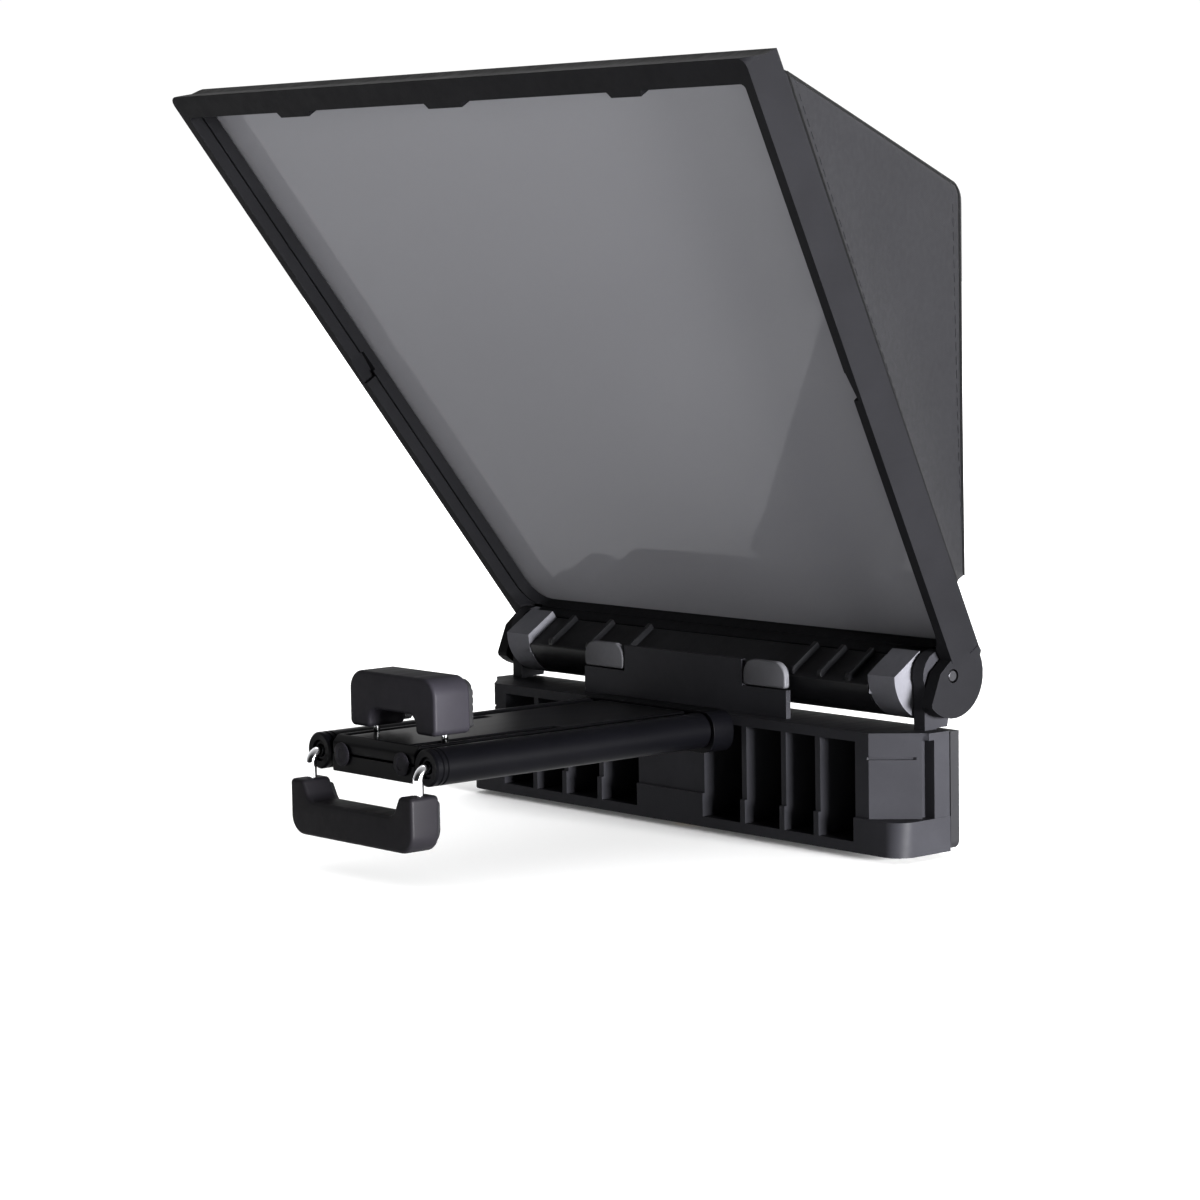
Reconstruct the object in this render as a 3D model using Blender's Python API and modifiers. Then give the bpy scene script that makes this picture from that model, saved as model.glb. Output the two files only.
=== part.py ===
"""Phone and tablet teleprompter: lens plate, folding hood, beam-splitter frame,
base beam, reversible arm, sprung phone jaw and sprung tablet jaw.
Frame of reference: X right, Y back towards the lens, Z up; origin on the lens
axis at the rear face of the adapter ring."""
import bpy
import bmesh
import math
from mathutils import Matrix, Vector

MM = 0.001
NAME = "teleprompter"
GAP = 0.3

# ---- driving dimensions (millimetres) ----
TILT = math.radians(33.0)          # frame leans this far from the vertical
HINGE_Y, HINGE_Z = -9.5, -62.0     # pivot between the frame and the base
HOOD_Y, HOOD_Z = -7.0, -43.27      # pivot between the rear plate and the frame
ARM_Z = -76.8                      # tubes and rods lie at this height
SPIN_Z = -78.0                     # and the spindle a little lower
# frame, in its own leaning axes: x across, w back, u up along the glass
W_FRONT, W_BACK = 1.3, 10.3
U_LOW, U_TOP = -1.0, 156.0
RAIL_TOP = 5.8
RAIL_LOW = 3.5
LIP = 2.5
WALL = 1.3
GLASS_W0, GLASS_T = 7.6, 1.4
# rear plate
PLATE_HALF, PLATE_LOW, PLATE_TOP = 74.0, -41.5, 45.0
PLATE_Y0, PLATE_Y1 = -8.5, -5.5
LENS_R = 38.5
# base beam
BASE_HALF, BASE_LOW, BASE_TOP = 75.0, -100.8, -74.0
BASE_FRONT, BASE_SPLIT, BASE_BACK = -26.5, -10.5, -7.5
# arm
ARM_FRONT, ARM_BACK = -113.0, -28.0
TUBE_X, TUBE_R, TUBE_BORE = 19.2, 4.1, 2.4
SLAB_HALF = 14.8
# jaws
PJ_Y0, PJ_Y1, PJ_LOW, PJ_TOP, PJ_HALF = -107.2, -97.2, -71.2, -58.8, 15.2
TJ_Y0, TJ_Y1, TJ_LOW, TJ_TOP, TJ_HALF = -119.1, -111.5, -94.7, -82.5, 21.8
POST_X, POST_Y, POST_R = 12.2, -102.2, 0.8
ROD_R, ROD_Y = 1.2, -115.1


def half_width(u):
    """Outer half width of the trapezoid frame at height u."""
    return 75.5 + 0.1616 * (u - 3.9)


# ---- scene set-up ----
for old in list(bpy.data.objects):
    bpy.data.objects.remove(old, do_unlink=True)
for old in list(bpy.data.collections):
    bpy.data.collections.remove(old)

PARTS = bpy.data.collections.new(NAME)
CUTS = bpy.data.collections.new("cutters")
bpy.context.scene.collection.children.link(PARTS)
bpy.context.scene.collection.children.link(CUTS)

MATS = {}


def material(name, rgb, rough, metal=0.0, alpha=1.0):
    if name not in MATS:
        m = bpy.data.materials.new(name)
        m.use_nodes = True
        p = m.node_tree.nodes["Principled BSDF"]
        p.inputs["Base Color"].default_value = (*rgb, 1.0)
        p.inputs["Roughness"].default_value = rough
        p.inputs["Metallic"].default_value = metal
        p.inputs["Alpha"].default_value = alpha
        MATS[name] = m
    return MATS[name]


def empty(name, at, parent=None, rot=None):
    e = bpy.data.objects.new(name, None)
    PARTS.objects.link(e)
    base = Vector((0, 0, 0))
    if parent is not None:
        e.parent = parent
        base = Vector(parent["at"])
    e.location = (Vector(at) - base) * MM
    if rot is not None:
        e.rotation_euler = rot
    e["at"] = list(at)
    return e


AX_PLATE = empty("axis_rear_plate", (0, 0, 0))
AX_HOOD = empty("axis_hood_fold", (0, HOOD_Y, HOOD_Z), AX_PLATE)
AX_FRAME = empty("axis_frame_lean", (0, HINGE_Y, HINGE_Z), AX_HOOD, (TILT, 0, 0))
AX_BASE = empty("axis_base_fold", (0, HINGE_Y, HINGE_Z), AX_HOOD)
AX_ARM = empty("axis_arm_flip", (0, -28.0, SPIN_Z), AX_BASE)
AX_PJAW = empty("axis_phone_jaw", (0, POST_Y, ARM_Z), AX_ARM)
AX_TJAW = empty("axis_tablet_jaw", (0, ROD_Y, ARM_Z), AX_ARM)


def shift_for(parent):
    """Shapes are written in object millimetres, or in x, w, u on the frame."""
    if parent is AX_FRAME:
        return Vector((0, 0, 0))
    return Vector(parent["at"])


def place(name, mesh, parent, mat=None, smooth=35.0):
    mesh.transform(Matrix.Translation(-shift_for(parent)))
    mesh.transform(Matrix.Scale(MM, 4))
    ob = bpy.data.objects.new(name, mesh)
    PARTS.objects.link(ob)
    ob.parent = parent
    if mat is not None:
        mesh.materials.append(material(name + "_mat", *mat))
    mesh.shade_smooth()
    mesh.set_sharp_from_angle(angle=math.radians(smooth))
    return ob


def bm_mesh(bm, name):
    me = bpy.data.meshes.new(name)
    bmesh.ops.recalc_face_normals(bm, faces=bm.faces)
    bm.to_mesh(me)
    bm.free()
    return me


def box(name, lo, hi, parent, mat=None, bevel=0.0, seg=2):
    bm = bmesh.new()
    bmesh.ops.create_cube(bm, size=1.0)
    lo, hi = Vector(lo), Vector(hi)
    for v in bm.verts:
        v.co = Vector([(lo[i] + hi[i]) / 2 + v.co[i] * (hi[i] - lo[i]) for i in range(3)])
    if bevel > 0:
        bmesh.ops.bevel(bm, geom=list(bm.edges), offset=bevel, segments=seg,
                        profile=0.5, affect='EDGES')
    return place(name, bm_mesh(bm, name), parent, mat)


AXES = {
    "x": Matrix(((0, 0, 1, 0), (1, 0, 0, 0), (0, 1, 0, 0), (0, 0, 0, 1))),
    "y": Matrix(((1, 0, 0, 0), (0, 0, -1, 0), (0, 1, 0, 0), (0, 0, 0, 1))),
    "z": Matrix.Identity(4),
}


def rod(name, axis, centre, lo, hi, r, parent, mat=None, seg=20, r2=None):
    """A cylinder or cone along one axis; centre gives the other two numbers."""
    bm = bmesh.new()
    bmesh.ops.create_cone(bm, cap_ends=True, segments=seg, radius1=r,
                          radius2=r if r2 is None else r2, depth=hi - lo)
    me = bm_mesh(bm, name)
    a, b = centre
    mid = (lo + hi) / 2
    at = {"x": (mid, a, b), "y": (a, mid, b), "z": (a, b, mid)}[axis]
    turn = AXES[axis].copy()
    if axis == "y":
        turn = Matrix(((1, 0, 0, 0), (0, 0, 1, 0), (0, -1, 0, 0), (0, 0, 0, 1)))
    me.transform(Matrix.Translation(Vector(at)) @ turn)
    return place(name, me, parent, mat)


def fillet(corners, seg=4):
    """Outline from (a, b) or (a, b, radius) corners."""
    pts = []
    n = len(corners)
    for i, c in enumerate(corners):
        p = Vector(c[:2])
        r = c[2] if len(c) > 2 else 0.0
        if r <= 0:
            pts.append(p)
            continue
        d0 = (Vector(corners[i - 1][:2]) - p).normalized()
        d1 = (Vector(corners[(i + 1) % n][:2]) - p).normalized()
        half = math.acos(max(-1, min(1, d0.dot(d1)))) / 2
        t = r / math.tan(half)
        centre = p + (d0 + d1).normalized() * (r / math.sin(half))
        a, b = p + d0 * t - centre, p + d1 * t - centre
        sweep = a.angle_signed(b)
        for k in range(seg + 1):
            pts.append(centre + Matrix.Rotation(-sweep * k / seg, 2) @ a)
    return [(p[0], p[1]) for p in pts]


def circle(a, b, r, seg=24, start=0.0, sweep=360.0):
    full = abs(sweep) >= 360
    n = seg if full else seg + 1
    return [(a + r * math.cos(math.radians(start + sweep * k / seg)),
             b + r * math.sin(math.radians(start + sweep * k / seg))) for k in range(n)]


def slab(name, axis, outline, lo, hi, parent, mat=None, holes=(), smooth=35.0):
    """A flat outline, with any holes, given its thickness along one axis."""
    cu = bpy.data.curves.new(name, "CURVE")
    cu.dimensions = "2D"
    cu.fill_mode = "BOTH"
    cu.extrude = (hi - lo) / 2
    for loop in (outline, *holes):
        sp = cu.splines.new("POLY")
        sp.points.add(len(loop) - 1)
        for q, (a, b) in zip(sp.points, loop):
            q.co = (a, b, 0, 1)
        sp.use_cyclic_u = True
    tmp = bpy.data.objects.new(name + "_outline", cu)
    PARTS.objects.link(tmp)
    bpy.context.view_layer.update()
    dg = bpy.context.evaluated_depsgraph_get()
    me = bpy.data.meshes.new_from_object(tmp.evaluated_get(dg))
    bpy.data.objects.remove(tmp, do_unlink=True)
    bm = bmesh.new()
    bm.from_mesh(me)
    bmesh.ops.remove_doubles(bm, verts=bm.verts, dist=0.0001)
    bmesh.ops.dissolve_limit(bm, angle_limit=0.001, verts=bm.verts, edges=bm.edges)
    me = bm_mesh(bm, name)
    shift = {"x": ((lo + hi) / 2, 0, 0), "y": (0, (lo + hi) / 2, 0),
             "z": (0, 0, (lo + hi) / 2)}[axis]
    me.transform(Matrix.Translation(Vector(shift)) @ AXES[axis])
    me.name = name
    return place(name, me, parent, mat, smooth)


def operand(ob):
    for c in list(ob.users_collection):
        c.objects.unlink(ob)
    CUTS.objects.link(ob)
    ob.hide_render = True
    ob.display_type = "WIRE"


def boolean(ob, others, op):
    for o in others:
        m = ob.modifiers.new(op.lower() + "_" + o.name, "BOOLEAN")
        m.operation = op
        m.solver = "EXACT"
        m.object = o
        operand(o)
    return ob


def cut(ob, *others):
    return boolean(ob, others, "DIFFERENCE")


def join(ob, *others):
    return boolean(ob, others, "UNION")


def wire(name, pts, r, parent, mat=None, res=2, smooth=60.0):
    """A wire along points, with closed ends."""
    cu = bpy.data.curves.new(name, "CURVE")
    cu.dimensions = "3D"
    cu.bevel_depth = r
    cu.bevel_resolution = res
    cu.use_fill_caps = True
    sp = cu.splines.new("POLY")
    sp.points.add(len(pts) - 1)
    for q, p in zip(sp.points, pts):
        q.co = (*p, 1)
    tmp = bpy.data.objects.new(name + "_path", cu)
    PARTS.objects.link(tmp)
    bpy.context.view_layer.update()
    dg = bpy.context.evaluated_depsgraph_get()
    me = bpy.data.meshes.new_from_object(tmp.evaluated_get(dg))
    bpy.data.objects.remove(tmp, do_unlink=True)
    bm = bmesh.new()
    bm.from_mesh(me)
    bmesh.ops.remove_doubles(bm, verts=bm.verts, dist=0.0001)
    return place(name, bm_mesh(bm, name), parent, mat, smooth)


def coil(r, y0, y1, turns, x, z, per=8):
    n = turns * per
    return [(x + r * math.cos(2 * math.pi * k / per), y0 + (y1 - y0) * k / n,
             z + r * math.sin(2 * math.pi * k / per)) for k in range(n + 1)]


def turned(name, profile, parent, mat=None, steps=48):
    """A ring about the Y axis from a closed profile of (radius, y)."""
    me = bpy.data.meshes.new(name)
    bm = bmesh.new()
    vs = [bm.verts.new((r, 0.0, -y)) for r, y in profile]
    for i, v in enumerate(vs):
        bm.edges.new((v, vs[(i + 1) % len(vs)]))
    bm.to_mesh(me)
    bm.free()
    me.transform(Matrix.Scale(MM, 4))
    ob = bpy.data.objects.new(name, me)
    PARTS.objects.link(ob)
    ob.parent = parent
    ob.rotation_euler = (math.radians(90), 0, 0)
    ob.location = -shift_for(parent) * MM
    m = ob.modifiers.new("turn", "SCREW")
    m.axis = "Z"
    m.angle = 2 * math.pi
    m.steps = steps
    m.render_steps = steps
    m.use_merge_vertices = True
    m.merge_threshold = 0.00001
    m.use_smooth_shade = False
    if mat is not None:
        me.materials.append(material(name + "_mat", *mat))
    return ob


# ---- finishes: colour, roughness, metallic ----
BLACK = ((0.012, 0.012, 0.014), 0.45)
DARK = ((0.02, 0.02, 0.023), 0.5)
GREY = ((0.06, 0.06, 0.066), 0.5)
SIDE = ((0.045, 0.044, 0.05), 0.55)
RUBBER = ((0.03, 0.03, 0.032), 0.8)
CHROME = ((0.8, 0.8, 0.82), 0.12, 1.0)
STEEL = ((0.5, 0.5, 0.52), 0.3, 1.0)
BRASS = ((0.7, 0.5, 0.22), 0.3, 1.0)
CLOTH = ((0.07, 0.068, 0.075), 0.85)
GLASS = ((0.35, 0.35, 0.37), 0.05, 0.0, 0.5)

# ================= rear plate =================
plate = slab("rear_plate", "y", fillet([
    (-PLATE_HALF, PLATE_LOW, 2.0), (PLATE_HALF, PLATE_LOW, 2.0),
    (PLATE_HALF, PLATE_TOP, 4.0), (-PLATE_HALF, PLATE_TOP, 4.0)]),
    PLATE_Y0, PLATE_Y1, AX_PLATE, BLACK, holes=[circle(0, 0, LENS_R, 48)])
KN_R, KN_BORE, KN_PIN = 1.5, 1.05, 0.8
PLATE_KNUCKLES = ((28.0, 37.5), (46.5, 56.0))
FRAME_KNUCKLE = (38.0, 46.0)
for s in (-1, 1):
    tag = "left" if s < 0 else "right"
    for i, (a, b) in enumerate(PLATE_KNUCKLES):
        lo, hi = min(s * a, s * b), max(s * a, s * b)
        join(plate,
             box(f"plate_lug_{tag}_{i}", (lo, PLATE_Y0, HOOD_Z), (hi, PLATE_Y1, PLATE_LOW + 1.0), AX_PLATE),
             rod(f"plate_knuckle_{tag}_{i}", "x", (HOOD_Y, HOOD_Z), lo, hi, KN_R, AX_PLATE))
cut(plate, rod("plate_bore", "x", (HOOD_Y, HOOD_Z), -60, 60, KN_BORE, AX_PLATE, seg=16))
SCREW_R = 40.9
for k in range(4):
    a = math.radians(45 + 90 * k)
    x, z = SCREW_R * math.cos(a), SCREW_R * math.sin(a)
    cut(plate, rod(f"plate_screw_hole_{k}", "y", (x, z), PLATE_Y0 - 1, PLATE_Y1 + 1, 0.95, AX_PLATE, seg=12))

ring = turned("lens_ring", [(36.0, -8.5), (38.1, -8.5), (38.1, -5.2), (43.6, -5.2), (43.6, -2.6),
                            (38.4, -2.6), (38.4, 0.0), (36.0, 0.0)], AX_PLATE, BLACK)
for k in range(4):
    a = math.radians(45 + 90 * k)
    x, z = SCREW_R * math.cos(a), SCREW_R * math.sin(a)
    cut(ring, rod(f"ring_screw_hole_{k}", "y", (x, z), -6.5, -1.0, 0.95, AX_PLATE, seg=12))
    sc = rod(f"ring_screw_{k + 1}", "y", (x, z), -2.3, -1.2, 1.7, AX_PLATE, STEEL, seg=16)
    join(sc, rod(f"ring_screw_shank_{k}", "y", (x, z), -8.2, -2.0, 0.6, AX_PLATE, seg=10))
    cut(sc, box(f"ring_screw_slot_{k}", (x - 0.9, -1.6, z - 0.2), (x + 0.9, -1.0, z + 0.2), AX_PLATE))
for s, tag in ((-1, "left"), (1, "right")):
    rod(f"hood_hinge_pin_{tag}", "x", (HOOD_Y, HOOD_Z), min(s * 27.0, s * 57.0), max(s * 27.0, s * 57.0),
        KN_PIN, AX_PLATE, STEEL, seg=16)

# ================= leaning frame (x, w, u) =================
def trapeze(inset, low, top, r_low=0.0, r_top=0.0):
    return fillet([(-(half_width(low) - inset), low, r_low), (half_width(low) - inset, low, r_low),
                   (half_width(top) - inset, top, r_top), (-(half_width(top) - inset), top, r_top)])


frame = slab("glass_frame", "y", trapeze(0.0, U_LOW, U_TOP, 0.0, 2.0), W_FRONT, W_BACK, AX_FRAME, SIDE)
cut(frame,
    slab("window_front", "y", trapeze(LIP, RAIL_LOW, U_TOP - RAIL_TOP, 8.0, 1.0), 0.0, 4.3, AX_FRAME),
    slab("window_back", "y", trapeze(LIP + 0.8, RAIL_LOW + 0.25, U_TOP - RAIL_TOP - 0.25, 7.0, 1.0), 4.1, 11.0, AX_FRAME),
    slab("glass_recess", "y", trapeze(WALL, 1.2, U_TOP - 3.8), GLASS_W0 - 0.3, 11.5, AX_FRAME),
    slab("top_slope", "x", [(0.3, U_TOP + 0.5), (7.0, U_TOP - 2.55), (9.4, U_TOP - 3.0), (12.3, U_TOP - 3.8),
                            (12.3, U_TOP + 6.0), (0.3, U_TOP + 6.0)], -120.0, 120.0, AX_FRAME))
for i, (a, b) in enumerate(((-62.0, -48.0), (-7.0, 8.0), (54.0, 66.5))):
    join(frame, slab(f"top_tab_{i}", "y", [(a, 151.5), (a + 1.6, 148.7), (b - 1.6, 148.7), (b, 151.5)],
                     W_FRONT + 0.2, 6.8, AX_FRAME))
for s, tag in ((-1, "left"), (1, "right")):
    x0, x1 = sorted((s * (half_width(77) - 3.6), s * (half_width(77) - 1.7)))
    cut(frame, box(f"side_notch_{tag}", (x0, 0.9, 73.5), (x1, 5.0, 80.5), AX_FRAME))
    lo, hi = sorted((s * 71.9, s * 75.2))
    leg = [(10.1, 0.8), (7.0, 0.85), (7.1, 3.3), (1.5, 3.35), (-3.0, 2.9), (-8.9, -1.2)]
    leg += circle(0, 0, 9.4, 16, 192.0, 160.0) + [(10.1, -0.7)]
    join(frame, slab(f"frame_leg_{tag}", "x", leg, lo, hi, AX_FRAME))
    lo, hi = sorted((s * 67.4, s * 71.9))
    cut(frame, rod(f"ear_notch_{tag}", "x", (0, 0), lo, hi, 6.1, AX_FRAME, seg=32))
    lo, hi = sorted((s * 70.0, s * 80.0))
    cut(frame, rod(f"leg_bore_{tag}", "x", (0, 0), lo, hi, 1.55, AX_FRAME, seg=16))
for i, x in enumerate((-48.0, 0.0, 48.0)):
    cut(frame, rod(f"rail_screw_hole_{i}", "z", (x, 3.6), -2.0, 1.6, 1.0, AX_FRAME, seg=12))

slab("glass_pane", "y", trapeze(WALL + 0.35, 1.6, U_TOP - 4.1), GLASS_W0, GLASS_W0 + GLASS_T, AX_FRAME, GLASS)

retainer = slab("glass_retainer", "y", trapeze(WALL + 0.4, 1.6, U_TOP - 4.1), 9.3, 10.3, AX_FRAME, BLACK,
                holes=[trapeze(5.0, 17.5, 147.5, 3.0, 2.0)])
P_W = (HOOD_Y - HINGE_Y) * math.cos(TILT) + (HOOD_Z - HINGE_Z) * math.sin(TILT)
P_U = -(HOOD_Y - HINGE_Y) * math.sin(TILT) + (HOOD_Z - HINGE_Z) * math.cos(TILT)
for s, tag in ((-1, "left"), (1, "right")):
    lo, hi = sorted((s * FRAME_KNUCKLE[0], s * FRAME_KNUCKLE[1]))
    join(retainer,
         box(f"retainer_lug_{tag}", (lo, 9.8, P_U - 1.2), (hi, P_W, P_U + 1.2), AX_FRAME),
         rod(f"retainer_knuckle_{tag}", "x", (P_W, P_U), lo, hi, KN_R, AX_FRAME))
    cut(retainer, rod(f"retainer_bore_{tag}", "x", (P_W, P_U), lo - 1, hi + 1, KN_BORE, AX_FRAME, seg=16))

# ribbed sill in front of the bottom rail
SILL_HALF = 58.4
APRON_R = 10.3
sill_line = [(0.9, 1.6), (0.9, 3.5), (-9.3, 3.5)] + circle(0, 0, APRON_R, 14, 161.0, 139.0)
sill_line += [(8.6, -3.1), (8.6, -1.4), (-1.0, -1.4), (-1.0, -3.0), (5.6, -3.05)]
sill_line += circle(0, 0, APRON_R - 1.6, 12, 300.0, -131.0)
sill = slab("ribbed_sill", "x", sill_line, -SILL_HALF, SILL_HALF, AX_FRAME, DARK)
for i, x in enumerate((-51.0, -37.0, -23.0, 34.0, 43.0, 52.0)):
    join(sill, slab(f"sill_rib_{i}", "x", [(-9.2, 3.0), (0.9, 3.0), (0.9, 5.0), (-8.4, 5.0), (-9.2, 4.2)],
                    x - 0.6, x + 0.6, AX_FRAME))
for i, x in enumerate((-48.0, 0.0, 48.0)):
    cut(sill, rod(f"sill_screw_hole_{i}", "z", (x, 3.6), -4.0, -1.0, 1.0, AX_FRAME, seg=12),
        rod(f"sill_driver_hole_{i}", "z", (x, 3.6), -14.0, -3.6, 2.5, AX_FRAME, seg=16))
    sc = rod(f"sill_screw_{i + 1}", "z", (x, 3.6), -4.5, -3.4, 1.8, AX_FRAME, STEEL, seg=16)
    join(sc, rod(f"sill_screw_shank_{i}", "z", (x, 3.6), -3.8, 1.2, 0.65, AX_FRAME, seg=10))
# corner cheeks beside the sill, with a face turned at 45 degrees
for s, tag in ((-1, "left"), (1, "right")):
    plan = [(s * 58.8, -19.3), (s * 67.2, -11.3), (s * 67.2, -3.0), (s * 58.8, -3.0)]
    cheek = slab(f"corner_cheek_{tag}", "z", plan if s > 0 else plan[::-1], -66.4, -56.6, AX_HOOD, GREY)
    lo, hi = sorted((s * 58.8, s * 67.2))
    join(cheek, rod(f"cheek_barrel_{tag}", "x", (HINGE_Y, HINGE_Z), lo, hi, APRON_R, AX_HOOD, seg=36))
    cut(cheek, box(f"cheek_back_{tag}", (-90, 0.9, -1.35), (90, 30, 40), AX_FRAME),
        box(f"cheek_top_{tag}", (-90, -30, 5.6), (90, 30, 40), AX_FRAME))

# folding hood: two sides and a top, from the frame's back edge to the rear plate
def on_frame(x, w, u):
    return Vector((x, HINGE_Y + w * math.cos(TILT) - u * math.sin(TILT),
                   HINGE_Z + w * math.sin(TILT) + u * math.cos(TILT)))


def sheet(name, a, b, c, d, thick, nu=6, nv=6):
    """A flat-ruled sheet between the edges a-b and d-c, given a thickness."""
    bm = bmesh.new()
    bmesh.ops.create_grid(bm, x_segments=nu, y_segments=nv, size=0.5)
    for v in bm.verts:
        s, t = v.co.x + 0.5, v.co.y + 0.5
        v.co = a.lerp(b, s).lerp(d.lerp(c, s), t)
    me = bpy.data.meshes.new(name)
    bm.to_mesh(me)
    bm.free()
    ob = place(name, me, AX_HOOD, CLOTH)
    m = ob.modifiers.new("thickness", "SOLIDIFY")
    m.thickness = thick * MM
    m.offset = 0.0
    return ob


for s, tag in ((-1, "left"), (1, "right")):
    sheet(f"hood_side_{tag}",
          on_frame(s * (half_width(18) - 1.2), 10.9, 18.0), on_frame(s * (half_width(146) - 1.2), 10.9, 146.0),
          Vector((s * 74.8, -6.2, 42.0)), Vector((s * 74.8, -6.2, -40.0)), 0.7)
sheet("hood_top", on_frame(-95.8, 10.9, 147.9), on_frame(95.8, 10.9, 147.9),
      Vector((73.0, -6.2, 45.9)), Vector((-73.0, -6.2, 45.9)), 0.7)

# ================= base beam =================
FOOT_TOP = -93.0
shell = slab("base_front_shell", "z", fillet([
    (-BASE_HALF, BASE_SPLIT), (-BASE_HALF, BASE_FRONT, 4.5), (BASE_HALF, BASE_FRONT, 4.5),
    (BASE_HALF, BASE_SPLIT)]), BASE_LOW, FOOT_TOP, AX_BASE, DARK)
join(shell, slab("base_upper_block", "z", [
    (-74.9, BASE_SPLIT - 0.1), (-74.9, -17.0), (-73.6, -17.3), (-65.0, -25.8), (65.0, -25.8),
    (73.6, -17.3), (74.9, -17.0), (74.9, BASE_SPLIT - 0.1)], FOOT_TOP - 0.5, BASE_TOP, AX_BASE))
for s, tag in ((-1, "left"), (1, "right")):
    ear = [(-10.8, BASE_TOP - 1.0), (-10.8, BASE_TOP + 0.3), (-7.5, BASE_TOP + 0.3), (-5.5, -64.0)]
    ear += circle(HINGE_Y, HINGE_Z, 5.5, 12, -25.0, 230.0) + [(-14.6, -66.0), (-14.6, BASE_TOP - 1.0)]
    lo, hi = sorted((s * 68.0, s * 71.3))
    join(shell, slab(f"base_ear_{tag}", "x", ear, lo, hi, AX_BASE))
    cut(shell, rod(f"ear_bore_{tag}", "x", (HINGE_Y, HINGE_Z), lo - 1, hi + 1, 1.55, AX_BASE, seg=16))
    # pockets open to the front, with ribs between them
    for i, (a, b) in enumerate(((11.5, 24.2), (25.8, 37.2), (38.8, 48.2), (49.8, 60.8))):
        x0, x1 = sorted((s * a, s * b))
        cut(shell, box(f"base_pocket_{tag}_{i}", (x0, BASE_FRONT - 2, -98.4), (x1, -12.8, BASE_TOP - 2.2), AX_BASE))
    # slot beside the slanted end face, and the seam under the top
    x0, x1 = sorted((s * 72.0, s * 80.0))
    cut(shell, box(f"end_slot_{tag}", (x0, -17.6, FOOT_TOP), (x1, -15.4, BASE_TOP - 1.6), AX_BASE))
    seam = [(s * 64.5, -25.3), (s * 71.4, -18.4), (s * 80.0, -18.4), (s * 80.0, -30.0), (s * 64.5, -30.0)]
    cut(shell, slab(f"seam_{tag}", "z", seam, -79.9, -79.3, AX_BASE))
# spindle bore, clip pocket and tripod thread insert pocket
cut(shell,
    rod("spindle_bore", "y", (0, SPIN_Z), -30, -9, 2.55, AX_BASE, seg=24),
    rod("clip_pocket", "y", (0, SPIN_Z), -13.2, -9, 3.3, AX_BASE, seg=24),
    rod("insert_pocket", "z", (0, -18.0), BASE_LOW - 1, -91.7, 5.3, AX_BASE, seg=32))
insert = rod("tripod_insert", "z", (0, -18.0), BASE_LOW + 0.1, -92.0, 5.0, AX_BASE, BRASS, seg=32)
cut(insert, rod("insert_thread", "z", (0, -18.0), BASE_LOW - 1, -93.5, 3.0, AX_BASE, seg=24))

cover = slab("base_rear_cover", "y", fillet([
    (-74.8, BASE_LOW + 0.2, 2.0), (74.8, BASE_LOW + 0.2, 2.0), (74.8, BASE_TOP - 0.2), (-74.8, BASE_TOP - 0.2)]),
    BASE_SPLIT + 0.3, BASE_BACK, AX_BASE, BLACK)
n = 0
for x, z in ((-68.0, -95.0), (-36.0, -87.0), (36.0, -87.0), (68.0, -95.0)):
    n += 1
    cut(cover, rod(f"cover_hole_{n}", "y", (x, z), -11.0, -7.0, 1.0, AX_BASE, seg=12),
        rod(f"cover_sink_{n}", "y", (x, z), -9.0, -7.0, 2.5, AX_BASE, seg=20))
    cut(shell, rod(f"shell_hole_{n}", "y", (x, z), -12.3, -10.0, 1.0, AX_BASE, seg=12))
    sc = rod(f"base_screw_{n}", "y", (x, z), -8.7, -7.7, 2.1, AX_BASE, STEEL, seg=16)
    join(sc, rod(f"base_screw_shank_{n}", "y", (x, z), -12.0, -8.5, 0.65, AX_BASE, seg=10))
# rear stop behind the phone, with a soft bumper at each end
STOP_Y0, STOP_Y1, STOP_TOP = -22.0, -20.6, -61.5
join(shell, slab("rear_stop", "y", [
    (-35.0, BASE_TOP - 1.0), (35.0, BASE_TOP - 1.0), (35.0, -67.5), (20.5, -67.6), (20.3, STOP_TOP),
    (-20.3, STOP_TOP), (-20.5, -67.6), (-35.0, -67.5)], STOP_Y0, STOP_Y1, AX_BASE))
for s, tag in ((-1, "left"), (1, "right")):
    x0, x1 = sorted((s * 20.9, s * 34.8))
    slab(f"stop_bumper_{tag}", "y", fillet([(x0, -67.2, 0.6), (x1, -67.2, 0.6), (x1, -61.2, 3.0), (x0, -61.2, 3.0)]),
         -22.15, -20.5, AX_BASE, RUBBER)
for s, tag in ((-1, "left"), (1, "right")):
    lo, hi = sorted((s * 67.6, s * 75.0))
    rod(f"pivot_pin_{tag}", "x", (HINGE_Y, HINGE_Z), lo, hi, 1.2, AX_BASE, STEEL, seg=20)

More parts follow.
